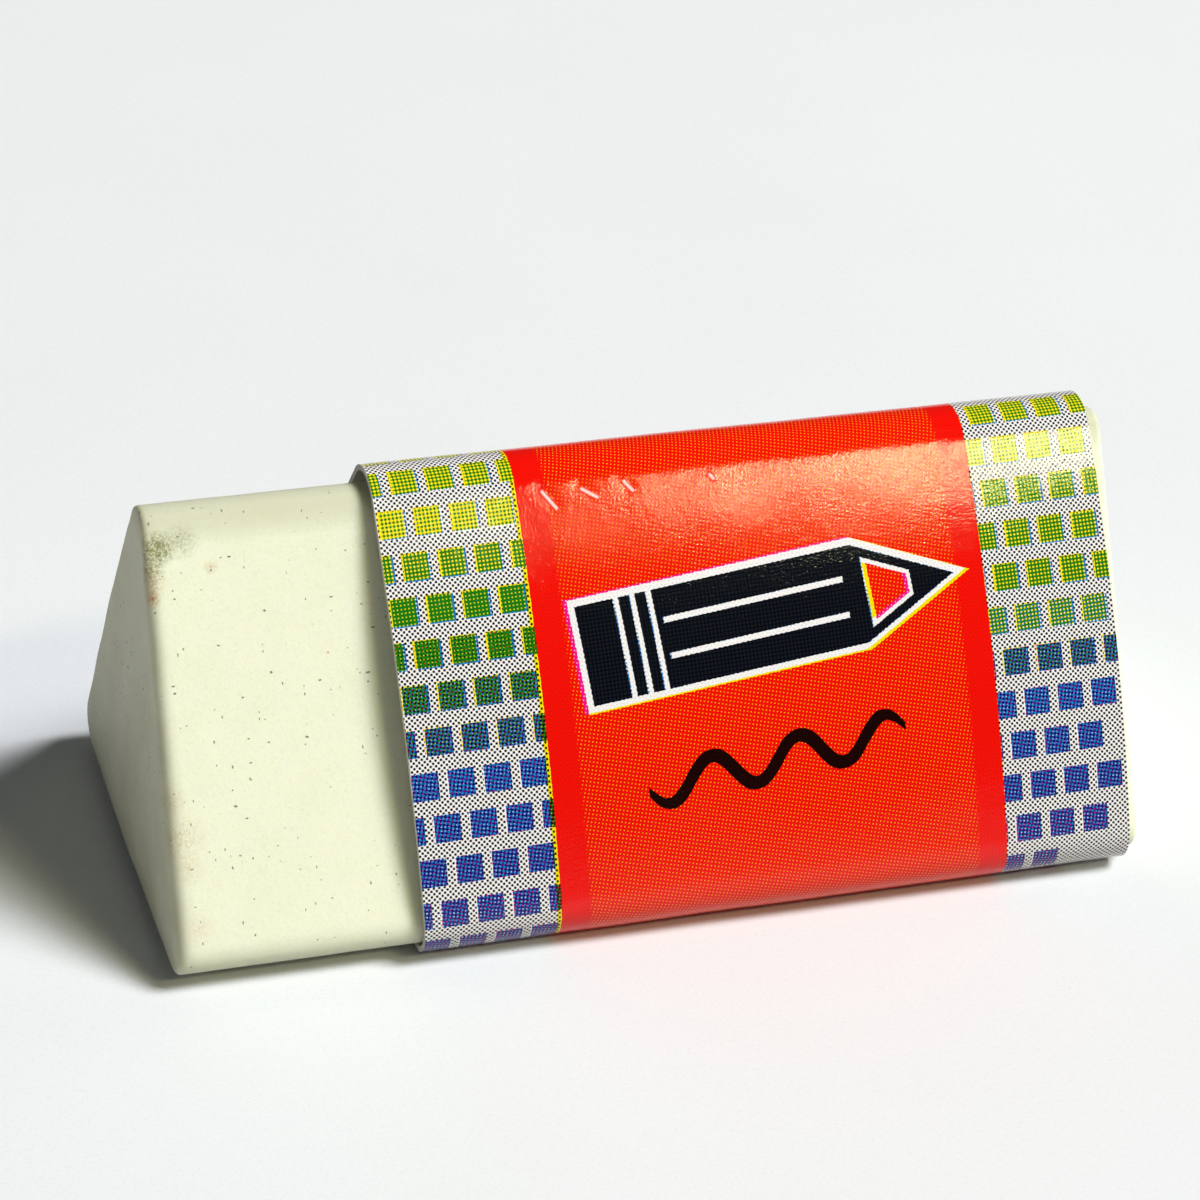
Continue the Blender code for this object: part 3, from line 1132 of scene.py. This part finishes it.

# %% Short ridges in the laminate under the upper fold, each with a painted white highlight
# Each one: where it starts and ends, along and up the print
HOOKS = (
    (-9.15, 8.70, -8.62, 7.95),
    (-7.38, 8.62, -6.75, 8.20),
    (-5.45, 8.72, -5.12, 8.30),
    (-1.55, 8.55, -1.42, 8.38),
)
HOOK_HEIGHT = 0.03
HOOK_WIDTH = 0.09
# The white of the painted highlight on the hook ridges
PAINTED_GLINT_WHITE = (1.0, 0.98, 0.95)
LAMINATE_GRAIN = 0.008


def hook_height_and_glint(along, up):
    """Their height: each is a ridge along a short line, HOOK_HEIGHT * exp(-(distance / width)^2). It also
    masks a painted highlight.
    """
    height = 0.0
    for start_along, start_up, end_along, end_up in HOOKS:
        run_along = end_along - start_along
        run_up = end_up - start_up
        from_along = along - start_along
        from_up = up - start_up
        share = ((from_along * run_along + from_up * run_up) / (run_along**2 + run_up**2)).kept()
        apart_along = from_along - share * run_along
        apart_up = from_up - share * run_up
        apart = (apart_along * apart_along + apart_up * apart_up) / HOOK_WIDTH**2
        height = height + (-apart).made_by("EXPONENT") * HOOK_HEIGHT
    return height


# %% The laminated print
def finish_print():
    """The four inks on white paper, under a clear glossy coat."""
    material, tree, shader = new_finish("laminated_print")
    colour = PAPER_WHITE
    for cover, light, shift, turn in INKS:
        along, up = print_place(tree, shift)
        dots = screened(along, up, cover(along, up), math.radians(turn))
        passed = layered((1.0, 1.0, 1.0), light, dots)
        colour = vector_node("MULTIPLY", passed, colour).outputs[0]
    along, up = print_place(tree, (0.0, 0.0))
    ridge_height_and_glint = hook_height_and_glint(along, up)
    # Painted highlight: white laid on the tops of the hook ridges, where a lamp would glint in them
    colour = layered(colour, PAINTED_GLINT_WHITE, (ridge_height_and_glint / HOOK_HEIGHT - 0.25).kept())
    tree.links.new(colour, shader.inputs["Base Color"])
    set_values(shader, {
        "Roughness": 0.6,
        "Specular IOR Level": 0.0,
        "Coat Weight": 1.0,
        "Coat Roughness": 0.09,
        "Coat IOR": 1.42,
    })
    place = in_millimetres(tree)
    grain = noise(place, 0.11, detail=2.0) + noise(place, 0.9, detail=1.0)
    bumped(grain * LAMINATE_GRAIN + ridge_height_and_glint, 1.0, shader.inputs["Coat Normal"])
    return material


sleeve.data.materials.append(finish_print())


# %% The bare paper of the inside and the cut edges
def finish_clouded(name, pale, dark, clouds, roughness, grain, depth):
    """A pale colour clouded with a dark one, over a grain. Clouds and grain are a noise's size and detail."""
    material, tree, shader = new_finish(name)
    place = in_millimetres(tree)
    colour = layered(pale, dark, noise(place, *clouds))
    tree.links.new(colour, shader.inputs["Base Color"])
    shader.inputs["Roughness"].default_value = roughness
    bumped(noise(place, *grain), depth, shader.inputs["Normal"])
    return material


PAPER_PALE = (0.70, 0.69, 0.64)
PAPER_DARK = (0.52, 0.50, 0.45)
FIBRE = (0.12, 4.0)
sleeve.data.materials.append(finish_clouded("bare_paper", PAPER_PALE, PAPER_DARK, FIBRE, 0.85, FIBRE, 0.01))

# %% [markdown]
# ## The glue
# A strip of dried glue holds the lap shut. It hardly shows, but its ends can be seen from the side.
# It is amber, with small bubbles, and finished in the same way as the bare paper.

# %% The glue keeps its solid, with a better finish
GLUE_PALE = (0.68, 0.56, 0.32)
GLUE_DARK = (0.45, 0.33, 0.15)
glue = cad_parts["seam_glue"]
glue.data.materials.clear()
glue.data.materials.append(
    finish_clouded("amber_glue", GLUE_PALE, GLUE_DARK, (0.5, 3.0), 0.35, (0.2, 2.0), 0.02)
)

# %% [markdown]
# ## The table and the light
# The eraser lies on a sheet of white card. One large soft lamp stands high on the right, a little in
# front, and throws the short shadow to the left and back. It isn't seen in the gloss.
# A narrow warm lamp is: it stands where the laminate mirrors it into the camera from just under the
# upper fold, and makes the highlight there. A weak low lamp on the left keeps the end face readable.

# %% The table
FLOOR_REACH = 2500.0
FLOOR_HEIGHT = -0.02


def finish_card():
    """White card with very faint clouds. It lights the eraser less than it shows, to keep shadows deep."""
    material, tree, shader = new_finish("white_card")
    place = in_millimetres(tree)
    clouds = noise(place, 18.0, detail=3.0)
    fine = noise(place, 0.14, detail=2.0)
    shown = layered((0.89, 0.92, 0.955), (0.85, 0.88, 0.90), clouds)
    shown = layered(shown, (0.74, 0.76, 0.80), ((fine - 0.5) * 1.5).kept())
    path = tree.nodes.new("ShaderNodeLightPath")
    seen = Field(path.outputs["Is Camera Ray"])
    for ray in ("Is Glossy Ray", "Is Transmission Ray"):
        seen = seen.at_least(Field(path.outputs[ray]))
    colour = layered((0.52, 0.52, 0.52), shown, seen)
    tree.links.new(colour, shader.inputs["Base Color"])
    set_values(shader, {"Roughness": 0.9, "Specular IOR Level": 0.1})
    return material


def make_floor():
    """A square of card just under the lowest point of the sleeve."""
    sides = (-FLOOR_REACH, FLOOR_REACH)
    points = np.array([(x, y, FLOOR_HEIGHT) for x in sides for y in sides])
    floor = mesh_object("table_card", points, grid_quads(2, 2, flip=True).tolist())
    floor.data.materials.append(finish_card())
    return floor


make_floor()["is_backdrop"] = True

# %% The lamps and the surroundings
LAMP_DISTANCE = 2400.0
HORIZON_HEIGHT = 0.12
HORIZON_SOFTNESS = 0.08
HORIZON_LIGHT = (0.55, 0.56, 0.56)
ROOM_LIGHT = (0.05, 0.05, 0.05)


def soft_lamp(name, azimuth, elevation, width, height, watts):
    """A rectangular area lamp that looks at the eraser from a direction, given in degrees."""
    back = direction(math.radians(azimuth), math.radians(elevation))
    data = bpy.data.lights.new(name, "AREA")
    data.shape = "RECTANGLE"
    data.size = width * MM
    data.size_y = height * MM
    data.energy = watts
    lamp = add_object(name, data)
    lamp.matrix_world = turned_frame(back, 0.0, AIM + back * LAMP_DISTANCE)
    return lamp


def make_surroundings():
    """A dim room with a pale band along the horizon, which lights upright faces more than the table."""
    world = bpy.data.worlds.new("dim_room")
    world.use_nodes = True
    bpy.context.scene.world = world
    tree = world.node_tree
    towards = tree.nodes.new("ShaderNodeTexCoord")
    height = split(towards.outputs["Generated"])[2]
    band = (height - HORIZON_HEIGHT).covered(HORIZON_SOFTNESS)
    colour = layered(ROOM_LIGHT, HORIZON_LIGHT, band)
    tree.links.new(colour, tree.nodes["Background"].inputs["Color"])


key_lamp = soft_lamp("key_lamp", azimuth=61.0, elevation=52.0, width=850.0, height=850.0, watts=64.0)
key_lamp.visible_glossy = False
strip_lamp = soft_lamp("strip_lamp", azimuth=31.0, elevation=39.8, width=420.0, height=110.0, watts=8.5)
strip_lamp.data.color = (1.0, 0.95, 0.52)
soft_lamp("low_fill", azimuth=-80.0, elevation=18.0, width=1200.0, height=1200.0, watts=1.6)
make_surroundings()
bpy.context.scene.view_settings.view_transform = "Standard"

# %% [markdown]
# ## Finish
# The growth of the looks' box over the solid model's box is printed. The looks must stay inside
# the solid model's box.

# %% Write the sizes and finish
LOOKS_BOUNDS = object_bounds()
growth = [(looks - solid) / MM for looks, solid in zip(LOOKS_BOUNDS[1], SOLID_BOUNDS[1])]
print("grown by %s mm" % [round(step, 3) for step in growth])
